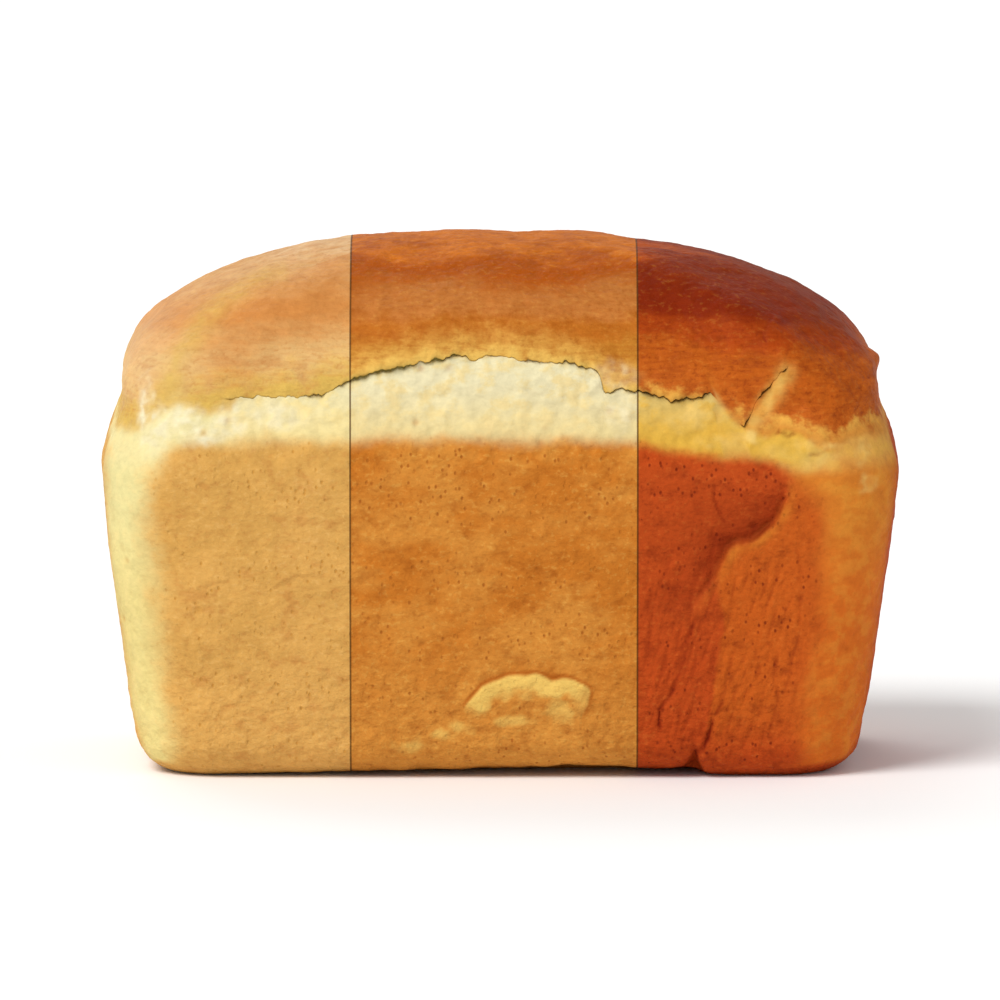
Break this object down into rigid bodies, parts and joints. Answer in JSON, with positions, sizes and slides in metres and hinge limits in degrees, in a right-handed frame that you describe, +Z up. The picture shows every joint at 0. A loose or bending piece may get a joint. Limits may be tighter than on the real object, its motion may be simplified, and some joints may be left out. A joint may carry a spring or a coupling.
{
  "type": "tin loaf",
  "caption": "Large white tin loaf with tapered tin-shaped walls, a torn pale shoulder along its long side and a domed top crust.",
  "frame": {"origin": "middle of the flat base, on the surface that the loaf stands on", "axes": "+X along the loaf's length, +Z up to the crown, and the torn long side faces -Y"},
  "size_m": [0.2198, 0.122, 0.146],
  "materials": {
    "bread_crust": "dry baked crust with a faint satin gloss, pale and matt where the dough tore"
  },
  "bodies": {
    "root": {"tin_loaf": "bread_crust"}
  },
  "joints": []
}
